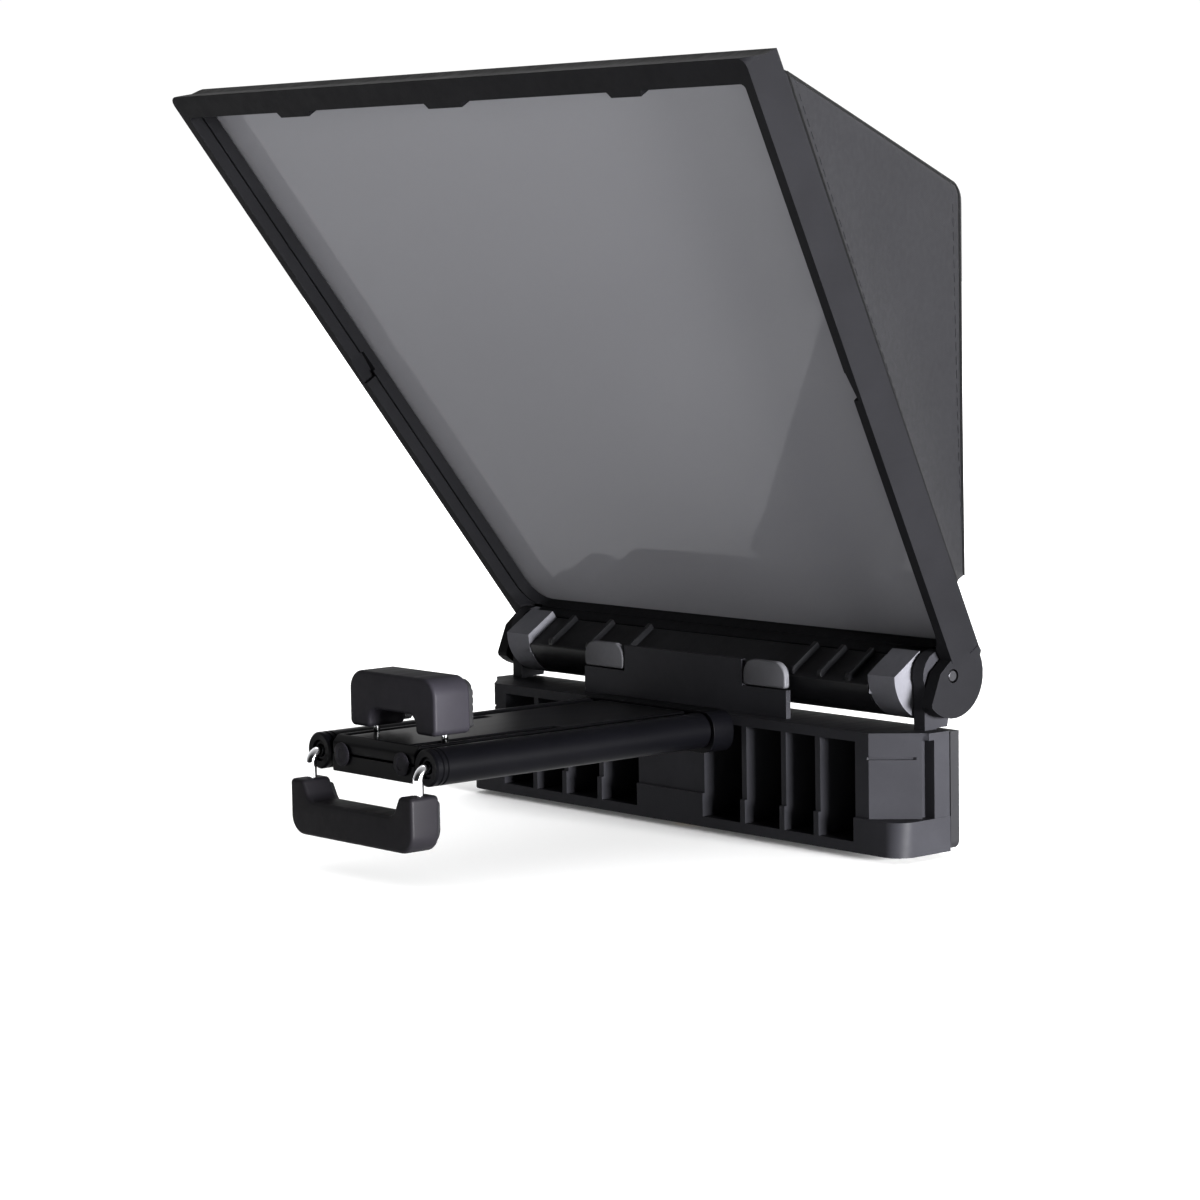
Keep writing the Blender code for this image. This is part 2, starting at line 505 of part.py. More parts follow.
# ================= arm =================
yoke = slab("arm_yoke", "y", fillet([(-24.0, -82.0, 4.0), (24.0, -82.0, 4.0), (24.0, -72.4, 4.0), (-24.0, -72.4, 4.0)]),
            -34.0, -28.0, AX_ARM, DARK)
for s, tag in ((-1, "left"), (1, "right")):
    cut(yoke, rod(f"yoke_socket_{tag}", "y", (s * TUBE_X, ARM_Z), -35.0, -29.5, 3.9, AX_ARM, seg=24))
    tube = rod(f"arm_tube_{tag}", "y", (s * TUBE_X, ARM_Z), ARM_FRONT, -34.3, TUBE_R, AX_ARM, DARK, seg=28)
    join(tube, rod(f"tube_spigot_{tag}", "y", (s * TUBE_X, ARM_Z), -35.0, -29.8, 3.6, AX_ARM, seg=24))
    cut(tube, rod(f"tube_bore_{tag}", "y", (s * TUBE_X, ARM_Z), ARM_FRONT - 1, -31.5, TUBE_BORE, AX_ARM, seg=20))
    bush = rod(f"tube_bush_{tag}", "y", (s * TUBE_X, ARM_Z), ARM_FRONT + 0.6, -110.2, 2.1, AX_ARM, BLACK, seg=20)
    cut(bush, rod(f"bush_bore_{tag}", "y", (s * TUBE_X, ARM_Z), ARM_FRONT - 1, -109.0, 1.5, AX_ARM, seg=16))
cut(yoke, rod("yoke_spindle_socket", "y", (0, SPIN_Z), -31.5, -27.0, 2.55, AX_ARM, seg=24))
spindle = rod("arm_spindle", "y", (0, SPIN_Z), -31.2, -11.6, 2.2, AX_ARM, STEEL, seg=24)
clip_groove = rod("spindle_groove", "y", (0, SPIN_Z), -12.9, -12.0, 3.5, AX_ARM, seg=24)
cut(clip_groove, rod("spindle_neck", "y", (0, SPIN_Z), -14, -11, 1.6, AX_ARM, seg=20))
cut(spindle, clip_groove)
clip = rod("spindle_clip", "y", (0, SPIN_Z), -12.75, -12.15, 3.0, AX_ARM, STEEL, seg=24)
cut(clip, rod("clip_bore", "y", (0, SPIN_Z), -14, -11, 1.85, AX_ARM, seg=20),
    box("clip_mouth", (-1.2, -14, SPIN_Z - 5), (1.2, -11, SPIN_Z), AX_ARM))

CH_LOW, CH_TOP = -79.7, -76.4
lower = slab("arm_lower_shell", "x", [
    (ARM_FRONT + 0.4, -80.8), (-34.4, -80.8), (-34.4, -77.0), (ARM_FRONT + 0.4, -77.0)],
    -SLAB_HALF, SLAB_HALF, AX_ARM, DARK)
cut(lower, box("carriage_channel", (-13.9, -111.4, CH_LOW), (13.9, -38.0, -74.8), AX_ARM))
upper = slab("arm_upper_shell", "x", [
    (ARM_FRONT + 0.4, -76.7), (-34.4, -76.7), (-34.4, -72.8), (ARM_FRONT + 2.0, -72.8), (ARM_FRONT + 0.4, -74.4)],
    -SLAB_HALF, SLAB_HALF, AX_ARM, DARK)
cut(upper, box("upper_hollow", (-13.9, -111.4, -77.8), (13.9, -38.0, -74.2), AX_ARM))
PJ_OUT, PJ_IN = 6.5, 30.0
for s, tag in ((-1, "left"), (1, "right")):
    x0, x1 = s * POST_X - 1.2, s * POST_X + 1.2
    cut(upper, box(f"post_slot_{tag}", (x0, POST_Y - PJ_OUT - 1.6, -79), (x1, POST_Y + PJ_IN + 1.6, -69), AX_ARM))
    rod(f"arm_boss_{tag}", "y", (s * 10.7, ARM_Z), ARM_FRONT - 0.3, ARM_FRONT + 0.1, 2.6, AX_ARM, GREY, seg=20)

# ================= phone jaw =================
jaw = slab("phone_jaw", "y", fillet([
    (-PJ_HALF, PJ_LOW, 1.2), (-8.2, PJ_LOW, 0.8), (-8.2, -67.0, 2.0), (8.2, -67.0, 2.0), (8.2, PJ_LOW, 0.8),
    (PJ_HALF, PJ_LOW, 1.2), (PJ_HALF, PJ_TOP, 4.0), (-PJ_HALF, PJ_TOP, 4.0)]),
    PJ_Y0, PJ_Y1, AX_PJAW, GREY)
pad = slab("phone_jaw_pad", "y", fillet([(-13.0, -70.6, 0.8), (-8.8, -70.6, 0.8), (-8.8, -66.4, 1.5), (8.8, -66.4, 1.5),
                                         (8.8, -70.6, 0.8), (13.0, -70.6, 0.8), (13.0, -60.0, 3.0), (-13.0, -60.0, 3.0)]),
           PJ_Y1 + 0.3, -94.5, AX_PJAW, RUBBER)
carriage = box("phone_carriage", (-13.5, POST_Y - 2.2, -79.3), (13.5, POST_Y + 7.0, -77.1), AX_PJAW, BLACK)
for s, tag in ((-1, "left"), (1, "right")):
    cut(jaw, rod(f"jaw_post_hole_{tag}", "z", (s * POST_X, POST_Y), -72.0, -67.6, 1.05, AX_PJAW, seg=16))
    rod(f"phone_jaw_post_{tag}", "z", (s * POST_X, POST_Y), -78.0, -68.0, POST_R, AX_PJAW, CHROME, seg=16)
    cut(carriage, rod(f"carriage_hole_{tag}", "z", (s * POST_X, POST_Y), -78.3, -75.8, 1.05, AX_PJAW, seg=16))
wire("phone_jaw_spring", coil(1.05, POST_Y + 7.4, -40.0, 12, 0.0, -78.05, 6), 0.22, AX_PJAW, STEEL, res=0)

# ================= tablet jaw =================
tjaw = slab("tablet_jaw", "y", fillet([
    (-TJ_HALF, TJ_LOW, 4.0), (TJ_HALF, TJ_LOW, 4.0), (TJ_HALF, TJ_TOP, 0.8), (17.2, TJ_TOP, 0.8),
    (14.8, -87.0, 2.5), (-14.8, -87.0, 2.5), (-17.2, TJ_TOP, 0.8), (-TJ_HALF, TJ_TOP, 0.8)]),
    TJ_Y0, TJ_Y1, AX_TJAW, BLACK)
slab("tablet_jaw_pad", "y", fillet([(-20.4, -93.4, 3.0), (20.4, -93.4, 3.0), (20.4, -84.0, 0.8), (17.8, -84.0, 0.8),
                                    (15.4, -88.0, 2.0), (-15.4, -88.0, 2.0), (-17.8, -84.0, 0.8), (-20.4, -84.0, 0.8)]),
     TJ_Y1 + 0.3, -110.1, AX_TJAW, RUBBER)
for s, tag in ((-1, "left"), (1, "right")):
    x = s * TUBE_X
    cut(tjaw, rod(f"rod_hole_{tag}", "z", (x, ROD_Y), -88.3, -82.0, 1.5, AX_TJAW, seg=16))
    bend = [(x, ROD_Y + 2.6 - 2.6 * math.sin(math.radians(t)), ARM_Z - 2.6 + 2.6 * math.cos(math.radians(t)))
            for t in (0, 15, 30, 45, 60, 75, 90)]
    wire(f"tablet_rod_{tag}", [(x, -47.0, ARM_Z), (x, -80.0, ARM_Z)] + bend + [(x, ROD_Y, -88.0)],
         ROD_R, AX_TJAW, CHROME, res=3)
    stop = rod(f"rod_stop_{tag}", "y", (x, ARM_Z), -46.6, -44.6, 2.0, AX_TJAW, STEEL, seg=16)
    wire(f"tablet_spring_{tag}", coil(1.78, -109.6, -47.6, 12, x, ARM_Z, 6), 0.2, AX_TJAW, STEEL, res=0)
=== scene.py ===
import math
import bpy
import bmesh
from mathutils import Matrix, Vector
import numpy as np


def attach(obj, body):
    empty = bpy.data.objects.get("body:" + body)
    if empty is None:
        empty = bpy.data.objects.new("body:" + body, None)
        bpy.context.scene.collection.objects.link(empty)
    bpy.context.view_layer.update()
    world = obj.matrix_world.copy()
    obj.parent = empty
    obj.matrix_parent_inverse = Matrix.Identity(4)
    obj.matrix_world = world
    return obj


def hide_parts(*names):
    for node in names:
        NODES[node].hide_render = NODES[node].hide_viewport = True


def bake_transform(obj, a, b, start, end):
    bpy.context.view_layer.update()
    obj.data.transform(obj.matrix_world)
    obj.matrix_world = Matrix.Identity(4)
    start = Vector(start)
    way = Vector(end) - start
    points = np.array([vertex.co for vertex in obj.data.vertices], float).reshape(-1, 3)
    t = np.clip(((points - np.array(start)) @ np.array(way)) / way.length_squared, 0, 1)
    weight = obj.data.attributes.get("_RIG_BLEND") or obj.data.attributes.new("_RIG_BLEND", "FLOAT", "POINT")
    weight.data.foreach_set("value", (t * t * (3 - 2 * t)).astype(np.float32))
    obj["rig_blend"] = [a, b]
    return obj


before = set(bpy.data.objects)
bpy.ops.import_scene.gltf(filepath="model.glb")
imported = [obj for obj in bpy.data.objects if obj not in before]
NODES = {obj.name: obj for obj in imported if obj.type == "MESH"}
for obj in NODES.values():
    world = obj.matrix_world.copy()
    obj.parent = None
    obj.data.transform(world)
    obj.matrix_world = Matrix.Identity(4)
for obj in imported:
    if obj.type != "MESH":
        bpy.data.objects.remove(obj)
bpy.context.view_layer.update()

MM = 0.001
TILT = math.radians(33.0)
H = Vector((0, -9.5, -62.0))        # base pivot
P = Vector((0, -7.0, -43.27))       # hood pivot
ARM_Z = -76.8
TUBE_X = 19.2


def half_width(u):
    return 75.5 + 0.1616 * (u - 3.9)


def fpt(x, w, u):
    """Frame axes (x across, w back, u up the glass) to object millimetres."""
    return Vector((x, H.y + w * math.cos(TILT) - u * math.sin(TILT),
                   H.z + w * math.sin(TILT) + u * math.cos(TILT)))


# ------------------------------------------------------------------ materials
def srgb(r, g, b):
    def lin(c):
        c /= 255.0
        return c / 12.92 if c <= 0.04045 else ((c + 0.055) / 1.055) ** 2.4
    return (lin(r), lin(g), lin(b))


def new_mat(name):
    m = bpy.data.materials.new(name)
    m.use_nodes = True
    nt = m.node_tree
    return m, nt, nt.nodes["Principled BSDF"]


def add(nt, kind, **vals):
    n = nt.nodes.new(kind)
    for k, v in vals.items():
        if k in n.inputs:
            n.inputs[k].default_value = v
        else:
            setattr(n, k, v)
    return n


def noise(nt, vec, scale, detail=3.0, rough=0.55):
    n = add(nt, "ShaderNodeTexNoise", Scale=scale, Detail=detail, Roughness=rough)
    nt.links.new(vec, n.inputs["Vector"])
    return n.outputs["Fac"]


def remap(nt, val, a, b, lo=0.3, hi=0.7):
    n = add(nt, "ShaderNodeMapRange")
    n.inputs["From Min"].default_value = lo
    n.inputs["From Max"].default_value = hi
    n.inputs["To Min"].default_value = a
    n.inputs["To Max"].default_value = b
    nt.links.new(val, n.inputs["Value"])
    return n.outputs["Result"]


def scaled_colour(nt, rgb, fac):
    """rgb times a factor that varies."""
    n = add(nt, "ShaderNodeVectorMath", operation="SCALE")
    n.inputs[0].default_value = rgb
    nt.links.new(fac, n.inputs["Scale"])
    return n.outputs["Vector"]


def plastic(name, rgb, rough=0.5, spec=0.3, grain=0.00035, depth=0.000012, var=0.1, coat=0.0, scuffed=1.0):
    """Moulded plastic: fine spark-eroded grain, slight colour drift, patchy sheen and faint scuffs."""
    m, nt, p = new_mat(name)
    co = add(nt, "ShaderNodeTexCoord").outputs["Object"]
    big = remap(nt, noise(nt, co, 55, 2), 1 - var, 1 + var)
    fine = remap(nt, noise(nt, co, 900, 2), 0.97, 1.03)
    mul = add(nt, "ShaderNodeMath", operation="MULTIPLY")
    nt.links.new(big, mul.inputs[0])
    nt.links.new(fine, mul.inputs[1])
    nt.links.new(scaled_colour(nt, rgb, mul.outputs[0]), p.inputs["Base Color"])
    stretch = add(nt, "ShaderNodeMapping")
    stretch.inputs["Scale"].default_value = (1.0, 0.12, 1.0)
    nt.links.new(co, stretch.inputs["Vector"])
    scuff = remap(nt, noise(nt, stretch.outputs["Vector"], 420, 4, 0.7), rough - 0.06 * scuffed, rough + 0.07 * scuffed)
    nt.links.new(scuff, p.inputs["Roughness"])
    p.inputs["Specular IOR Level"].default_value = spec
    p.inputs["Coat Weight"].default_value = coat
    p.inputs["Coat Roughness"].default_value = 0.25
    bump = add(nt, "ShaderNodeBump", Strength=0.6, Distance=depth)
    nt.links.new(noise(nt, co, 1.0 / grain, 2), bump.inputs["Height"])
    nt.links.new(bump.outputs["Normal"], p.inputs["Normal"])
    return m


def metal(name, rgb, rough, brushed=None, depth=0.000004):
    m, nt, p = new_mat(name)
    co = add(nt, "ShaderNodeTexCoord").outputs["Object"]
    p.inputs["Metallic"].default_value = 1.0
    nt.links.new(scaled_colour(nt, rgb, remap(nt, noise(nt, co, 120, 3), 0.9, 1.05)), p.inputs["Base Color"])
    nt.links.new(remap(nt, noise(nt, co, 300, 4), max(0.03, rough - 0.04), rough + 0.06), p.inputs["Roughness"])
    mp = add(nt, "ShaderNodeMapping")
    mp.inputs["Scale"].default_value = brushed or (1, 1, 1)
    nt.links.new(co, mp.inputs["Vector"])
    bump = add(nt, "ShaderNodeBump", Strength=0.4, Distance=depth)
    nt.links.new(noise(nt, mp.outputs["Vector"], 1500, 3), bump.inputs["Height"])
    nt.links.new(bump.outputs["Normal"], p.inputs["Normal"])
    return m


def rubber(name, rgb, rough=0.75):
    m = plastic(name, rgb, rough, 0.2, 0.0005, 0.00003, 0.14)
    return m


def cloth(name, rgb, pitch=0.00055, depth=0.00004):
    """Coated woven cloth: warp and weft from two sets of bands on the flat pattern."""
    m, nt, p = new_mat(name)
    uv = add(nt, "ShaderNodeTexCoord").outputs["UV"]
    obj = add(nt, "ShaderNodeTexCoord").outputs["Object"]
    waves = []
    for d in ("X", "Y"):
        w = add(nt, "ShaderNodeTexWave", wave_type="BANDS", bands_direction=d, Scale=2 * math.pi / (20 * pitch),
                Distortion=0.6, Detail=1.0)
        nt.links.new(uv, w.inputs["Vector"])
        waves.append(w.outputs["Fac"])
    mx = add(nt, "ShaderNodeMath", operation="MULTIPLY")
    nt.links.new(waves[0], mx.inputs[0])
    nt.links.new(waves[1], mx.inputs[1])
    shade = remap(nt, mx.outputs[0], 0.93, 1.05, 0.0, 1.0)
    drift = remap(nt, noise(nt, obj, 28, 3), 0.93, 1.07)
    f = add(nt, "ShaderNodeMath", operation="MULTIPLY")
    nt.links.new(shade, f.inputs[0])
    nt.links.new(drift, f.inputs[1])
    nt.links.new(scaled_colour(nt, rgb, f.outputs[0]), p.inputs["Base Color"])
    nt.links.new(remap(nt, noise(nt, obj, 700, 2), 0.72, 0.88), p.inputs["Roughness"])
    p.inputs["Specular IOR Level"].default_value = 0.08
    p.inputs["Sheen Weight"].default_value = 0.03
    p.inputs["Sheen Roughness"].default_value = 0.5
    bump = add(nt, "ShaderNodeBump", Strength=0.5, Distance=depth)
    nt.links.new(mx.outputs[0], bump.inputs["Height"])
    nt.links.new(bump.outputs["Normal"], p.inputs["Normal"])
    return m


def half_mirror(name):
    """Coated glass: a faint smudge pattern, part mirror and part clear grey, over a mostly diffuse grey that is painted
    reflection, a flat grey standing in for the mirror's even reflection of the pale surroundings.
    """
    m, nt, p = new_mat(name)
    out = nt.nodes["Material Output"]
    co = add(nt, "ShaderNodeTexCoord").outputs["Object"]
    # painted reflection: this diffuse grey, 80 percent of the final mix, stands in for an even reflection of the pale
    # surroundings
    p.inputs["Base Color"].default_value = (0.178, 0.178, 0.19, 1)
    p.inputs["Roughness"].default_value = 0.35
    p.inputs["Specular IOR Level"].default_value = 0.0
    gl = add(nt, "ShaderNodeBsdfGlossy")
    gl.inputs["Color"].default_value = (0.93, 0.94, 0.96, 1)
    nt.links.new(remap(nt, noise(nt, co, 45, 4), 0.015, 0.05), gl.inputs["Roughness"])
    tr = add(nt, "ShaderNodeBsdfTransparent")
    tr.inputs["Color"].default_value = (0.16, 0.16, 0.165, 1)
    lw = add(nt, "ShaderNodeLayerWeight", Blend=0.25)
    fac = remap(nt, lw.outputs["Fresnel"], 0.16, 0.6, 0.0, 1.0)
    a = add(nt, "ShaderNodeMixShader")
    nt.links.new(fac, a.inputs["Fac"])
    nt.links.new(tr.outputs["BSDF"], a.inputs[1])
    nt.links.new(gl.outputs["BSDF"], a.inputs[2])
    b = add(nt, "ShaderNodeMixShader")
    b.inputs["Fac"].default_value = 0.8
    nt.links.new(a.outputs["Shader"], b.inputs[1])
    nt.links.new(p.outputs["BSDF"], b.inputs[2])
    nt.links.new(b.outputs["Shader"], out.inputs["Surface"])
    return m


M = {
    "plate": plastic("moulded_black", srgb(20, 20, 22), 0.55, 0.12),
    "frame": plastic("frame_plastic", srgb(19, 19, 21), 0.5, 0.05, grain=0.0004),
    "sill": plastic("sill_plastic", srgb(16, 16, 18), 0.36, 0.25),
    "cheek": plastic("cheek_plastic", srgb(74, 74, 78), 0.6, 0.06),
    "base": plastic("base_plastic", srgb(33, 33, 36), 0.5, 0.08),
    "cover": plastic("cover_plastic", srgb(22, 22, 24), 0.55, 0.18),
    "arm": plastic("arm_plastic", srgb(5, 5, 7), 0.36, 0.08, depth=0.000006, scuffed=0.15),
    "jaw": plastic("jaw_plastic", srgb(30, 29, 33), 0.5, 0.08),
    "tjaw": plastic("tablet_jaw_plastic", srgb(21, 20, 23), 0.5, 0.1),
    "ring": plastic("ring_anodised", srgb(16, 16, 17), 0.35, 0.4, grain=0.0003, depth=0.000006),
    "chrome": metal("chrome", (0.9, 0.9, 0.92), 0.07),
    "steel": metal("turned_steel", (0.52, 0.52, 0.54), 0.28),
    "black_screw": metal("black_screw", (0.06, 0.06, 0.065), 0.35),
    "brass": metal("turned_brass", (0.72, 0.53, 0.25), 0.25),
    "rubber": rubber("soft_rubber", srgb(18, 18, 20)),
    "bumper": rubber("bumper_rubber", srgb(66, 66, 69), 0.65),
    "cloth": cloth("hood_cloth", srgb(21, 21, 23)),
    "binding": cloth("hood_binding", srgb(8, 8, 9), 0.0007),
    "thread": cloth("hood_thread", srgb(20, 20, 22), 0.0004),
    "glass": half_mirror("beam_splitter"),
}


def dress(ob, key):
    ob.data.materials.clear()
    ob.data.materials.append(M[key])
    return ob


def shade_group():
    """Smooth shading with edges over 34 degrees kept sharp, as a modifier so that the mesh isn't touched."""
    g = bpy.data.node_groups.new("shade_by_angle", "GeometryNodeTree")
    g.interface.new_socket("Geometry", in_out="INPUT", socket_type="NodeSocketGeometry")
    g.interface.new_socket("Geometry", in_out="OUTPUT", socket_type="NodeSocketGeometry")
    i, o = g.nodes.new("NodeGroupInput"), g.nodes.new("NodeGroupOutput")
    face, edge = g.nodes.new("GeometryNodeSetShadeSmooth"), g.nodes.new("GeometryNodeSetShadeSmooth")
    face.domain, edge.domain = "FACE", "EDGE"
    face.inputs["Shade Smooth"].default_value = True
    edge.inputs["Shade Smooth"].default_value = False
    ang = g.nodes.new("GeometryNodeInputMeshEdgeAngle")
    cmp = g.nodes.new("FunctionNodeCompare")
    cmp.data_type, cmp.operation = "FLOAT", "GREATER_THAN"
    cmp.inputs[1].default_value = math.radians(34)
    g.links.new(i.outputs[0], face.inputs["Geometry"])
    g.links.new(face.outputs[0], edge.inputs["Geometry"])
    g.links.new(ang.outputs["Unsigned Angle"], cmp.inputs[0])
    g.links.new(cmp.outputs[0], edge.inputs["Selection"])
    g.links.new(edge.outputs[0], o.inputs[0])
    return g


SHADE = shade_group()


def round_edges(ob, width, seg=2, angle=32.0):
    w = ob.modifiers.new("weld", "WELD")
    w.merge_threshold = 0.000002
    b = ob.modifiers.new("edge", "BEVEL")
    b.width = width * MM
    b.segments = seg
    b.limit_method = "ANGLE"
    b.angle_limit = math.radians(angle)
    b.use_clamp_overlap = True
    b.harden_normals = False
    g = ob.modifiers.new("shade", "NODES")
    g.node_group = SHADE
    w = ob.modifiers.new("normals", "WEIGHTED_NORMAL")
    w.keep_sharp = True
    return ob


# ------------------------------------------------------------------ shape tools
AX = {
    "x": Matrix(((0, 0, 1, 0), (1, 0, 0, 0), (0, 1, 0, 0), (0, 0, 0, 1))),
    "y": Matrix(((1, 0, 0, 0), (0, 0, -1, 0), (0, 1, 0, 0), (0, 0, 0, 1))),
    "z": Matrix.Identity(4),
}


def link(name, me, key, smooth=40.0):
    ob = bpy.data.objects.new(name, me)
    bpy.context.scene.collection.objects.link(ob)
    me.materials.clear()
    me.materials.append(M[key])
    me.shade_smooth()
    me.set_sharp_from_angle(angle=math.radians(smooth))
    return ob


def curve_mesh(cu, name):
    tmp = bpy.data.objects.new(name + "_tmp", cu)
    bpy.context.scene.collection.objects.link(tmp)
    bpy.context.view_layer.update()
    me = bpy.data.meshes.new_from_object(tmp.evaluated_get(bpy.context.evaluated_depsgraph_get()))
    bpy.data.objects.remove(tmp, do_unlink=True)
    bm = bmesh.new()
    bm.from_mesh(me)
    bmesh.ops.remove_doubles(bm, verts=bm.verts, dist=0.0005)
    bmesh.ops.recalc_face_normals(bm, faces=bm.faces)
    out = bpy.data.meshes.new(name)
    bm.to_mesh(out)
    bm.free()
    return out


def fillet(corners, seg=10):
    pts, n = [], len(corners)
    for i, c in enumerate(corners):
        p = Vector(c[:2])
        r = c[2] if len(c) > 2 else 0.0
        if r <= 0:
            pts.append(p)
            continue
        d0 = (Vector(corners[i - 1][:2]) - p).normalized()
        d1 = (Vector(corners[(i + 1) % n][:2]) - p).normalized()
        half = math.acos(max(-1, min(1, d0.dot(d1)))) / 2
        centre = p + (d0 + d1).normalized() * (r / math.sin(half))
        t = r / math.tan(half)
        a, b = p + d0 * t - centre, p + d1 * t - centre
        sweep = a.angle_signed(b)
        for k in range(seg + 1):
            pts.append(centre + Matrix.Rotation(-sweep * k / seg, 2) @ a)
    return [(q[0], q[1]) for q in pts]


def prism(name, key, axis, outline, lo, hi, edge=0.6, res=3, holes=(), smooth=40.0):
    """A flat outline with thickness and rounded edges."""
    cu = bpy.data.curves.new(name, "CURVE")
    cu.dimensions = "2D"
    cu.fill_mode = "BOTH"
    cu.extrude = (hi - lo) / 2 - edge
    cu.bevel_depth = edge
    cu.bevel_resolution = res
    cu.offset = -edge
    for loop in (outline, *holes):
        sp = cu.splines.new("POLY")
        sp.points.add(len(loop) - 1)
        for q, (a, b) in zip(sp.points, loop):
            q.co = (a, b, 0, 1)
        sp.use_cyclic_u = True
    me = curve_mesh(cu, name)
    mid = (lo + hi) / 2
    shift = {"x": (mid, 0, 0), "y": (0, mid, 0), "z": (0, 0, mid)}[axis]
    me.transform(Matrix.Scale(MM, 4) @ Matrix.Translation(Vector(shift)) @ AX[axis])
    return link(name, me, key, smooth)


def lathe(name, key, profile, origin, axis, seg=64, closed=False, smooth=35.0):
    """Turned piece: profile of (radius, distance along axis) from origin."""
    z = Vector(axis).normalized()
    x = z.orthogonal().normalized()
    y = z.cross(x)
    bm = bmesh.new()
    rings = []
    for r, h in profile:
        if r < 1e-6:
            rings.append([bm.verts.new(Vector(origin) + z * h)])
        else:
            rings.append([bm.verts.new(Vector(origin) + z * h + (x * math.cos(2 * math.pi * k / seg)
                          + y * math.sin(2 * math.pi * k / seg)) * r) for k in range(seg)])
    pairs = list(zip(rings, rings[1:])) + ([(rings[-1], rings[0])] if closed else [])
    for a, b in pairs:
        for k in range(seg):
            j = (k + 1) % seg
            if len(a) == 1 and len(b) == 1:
                continue
            if len(a) == 1:
                bm.faces.new((a[0], b[j], b[k]))
            elif len(b) == 1:
                bm.faces.new((a[k], a[j], b[0]))
            else:
                bm.faces.new((a[k], a[j], b[j], b[k]))
    bmesh.ops.recalc_face_normals(bm, faces=bm.faces)
    me = bpy.data.meshes.new(name)
    bm.to_mesh(me)
    bm.free()
    me.transform(Matrix.Scale(MM, 4))
    return link(name, me, key, smooth)


def wire(name, key, pts, r, res=6, smooth=60.0):
    cu = bpy.data.curves.new(name, "CURVE")
    cu.dimensions = "3D"
    cu.bevel_depth = r
    cu.bevel_resolution = res
    cu.use_fill_caps = True
    sp = cu.splines.new("POLY")
    sp.points.add(len(pts) - 1)
    for q, p in zip(sp.points, pts):
        q.co = (*p, 1)
    me = curve_mesh(cu, name)
    me.transform(Matrix.Scale(MM, 4))
    return link(name, me, key, smooth)


def carve(ob, cutters):
    for c in cutters:
        m = ob.modifiers.new("cut", "BOOLEAN")
        m.operation = "DIFFERENCE"
        m.solver = "EXACT"
        m.object = c
    bpy.context.view_layer.update()
    me = bpy.data.meshes.new_from_object(ob.evaluated_get(bpy.context.evaluated_depsgraph_get()))
    ob.modifiers.clear()
    ob.data = me
    me.shade_smooth()
    me.set_sharp_from_angle(angle=math.radians(40))
    for c in cutters:
        bpy.data.objects.remove(c, do_unlink=True)
    return ob

# ------------------------------------------------------------------ CAD nodes keep their shape
FINISH = {
    "rear_plate": ("plate", 0.5), "glass_frame": ("frame", 0.45), "glass_pane": ("glass", 0.2),
    "glass_retainer": ("plate", 0.2), "ribbed_sill": ("sill", 0.3), "corner_cheek_left": ("cheek", 0.5),
    "corner_cheek_right": ("cheek", 0.5), "base_front_shell": ("base", 0.35), "base_rear_cover": ("cover", 0.5),
    "arm_yoke": ("arm", 0.5), "arm_lower_shell": ("arm", 0.4), "arm_upper_shell": ("arm", 0.5),
    "phone_carriage": ("plate", 0.2), "arm_spindle": ("steel", 0.2), "spindle_clip": ("steel", 0.1),
    "hood_hinge_pin_left": ("black_screw", 0.15), "hood_hinge_pin_right": ("black_screw", 0.15),
    "pivot_pin_left": ("black_screw", 0.2), "pivot_pin_right": ("black_screw", 0.2),
    "rod_stop_left": ("steel", 0.15), "rod_stop_right": ("steel", 0.15),
    "tube_bush_left": ("plate", 0.15), "tube_bush_right": ("plate", 0.15),
}
for node, (key, width) in FINISH.items():
    dress(NODES[node], key)
    round_edges(NODES[node], width)


def stand_for(piece, body, slot, *nodes):
    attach(piece, body)
    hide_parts(*nodes)
    return piece


SIDES = ((-1, "left"), (1, "right"))

# ------------------------------------------------------------------ lens adapter ring, with a grooved rim and a thread
prof = [(36.0, -8.45), (37.7, -8.45), (38.05, -8.1), (38.05, -5.2), (43.0, -5.2), (43.5, -4.8)]
for k in range(3):                                  # grip grooves round the flange
    y = -4.55 + 0.6 * k
    prof += [(43.5, y), (43.15, y + 0.15), (43.15, y + 0.3), (43.5, y + 0.45)]
prof += [(43.5, -2.95), (43.1, -2.62), (38.35, -2.62)]
for k in range(3):                                  # male lens thread, 0.75 mm pitch
    y = -2.4 + 0.75 * k
    prof += [(37.75, y), (37.75, y + 0.12), (38.3, y + 0.42), (38.3, y + 0.5)]
prof += [(37.6, -0.02), (36.5, -0.02), (36.4, -0.3)]
for k in range(6):                                  # stepped light baffles in the bore
    y = -1.0 - 1.15 * k
    prof += [(36.4, y), (36.05, y - 0.1), (36.05, y - 0.55), (36.4, y - 0.65)]
ring = lathe("lens_adapter_ring", "ring", prof, (0, 0, 0), (0, 1, 0), 144, closed=True)
stand_for(ring, "rear_plate", "ring_metal", "lens_ring")


# ------------------------------------------------------------------ screws with a hexagon socket
def screw(name, key, at, axis, r, h, shank, length, socket):
    """at is the centre of the head's underside; axis points out of the head."""
    c = min(0.35, h * 0.4)
    head = lathe(name, key, [(0, -length), (shank * 0.6, -length), (shank, -length + 0.5), (shank, 0.0), (r - 0.15, 0.0),
                             (r, 0.15), (r, h - c), (r - c * 0.35, h - c * 0.3), (r - c, h), (0, h)], at, axis, 40)
    z = Vector(axis).normalized()
    bm = bmesh.new()
    bmesh.ops.create_cone(bm, cap_ends=True, segments=6, radius1=socket, radius2=socket, depth=h * 1.2)
    me = bpy.data.meshes.new("socket")
    bm.to_mesh(me)
    bm.free()
    me.transform(Matrix.Scale(MM, 4) @ Matrix.Translation(Vector(at) + z * (h * 1.02))
                 @ Vector((0, 0, 1)).rotation_difference(z).to_matrix().to_4x4())
    c = link("socket", me, key)
    return carve(head, [c])


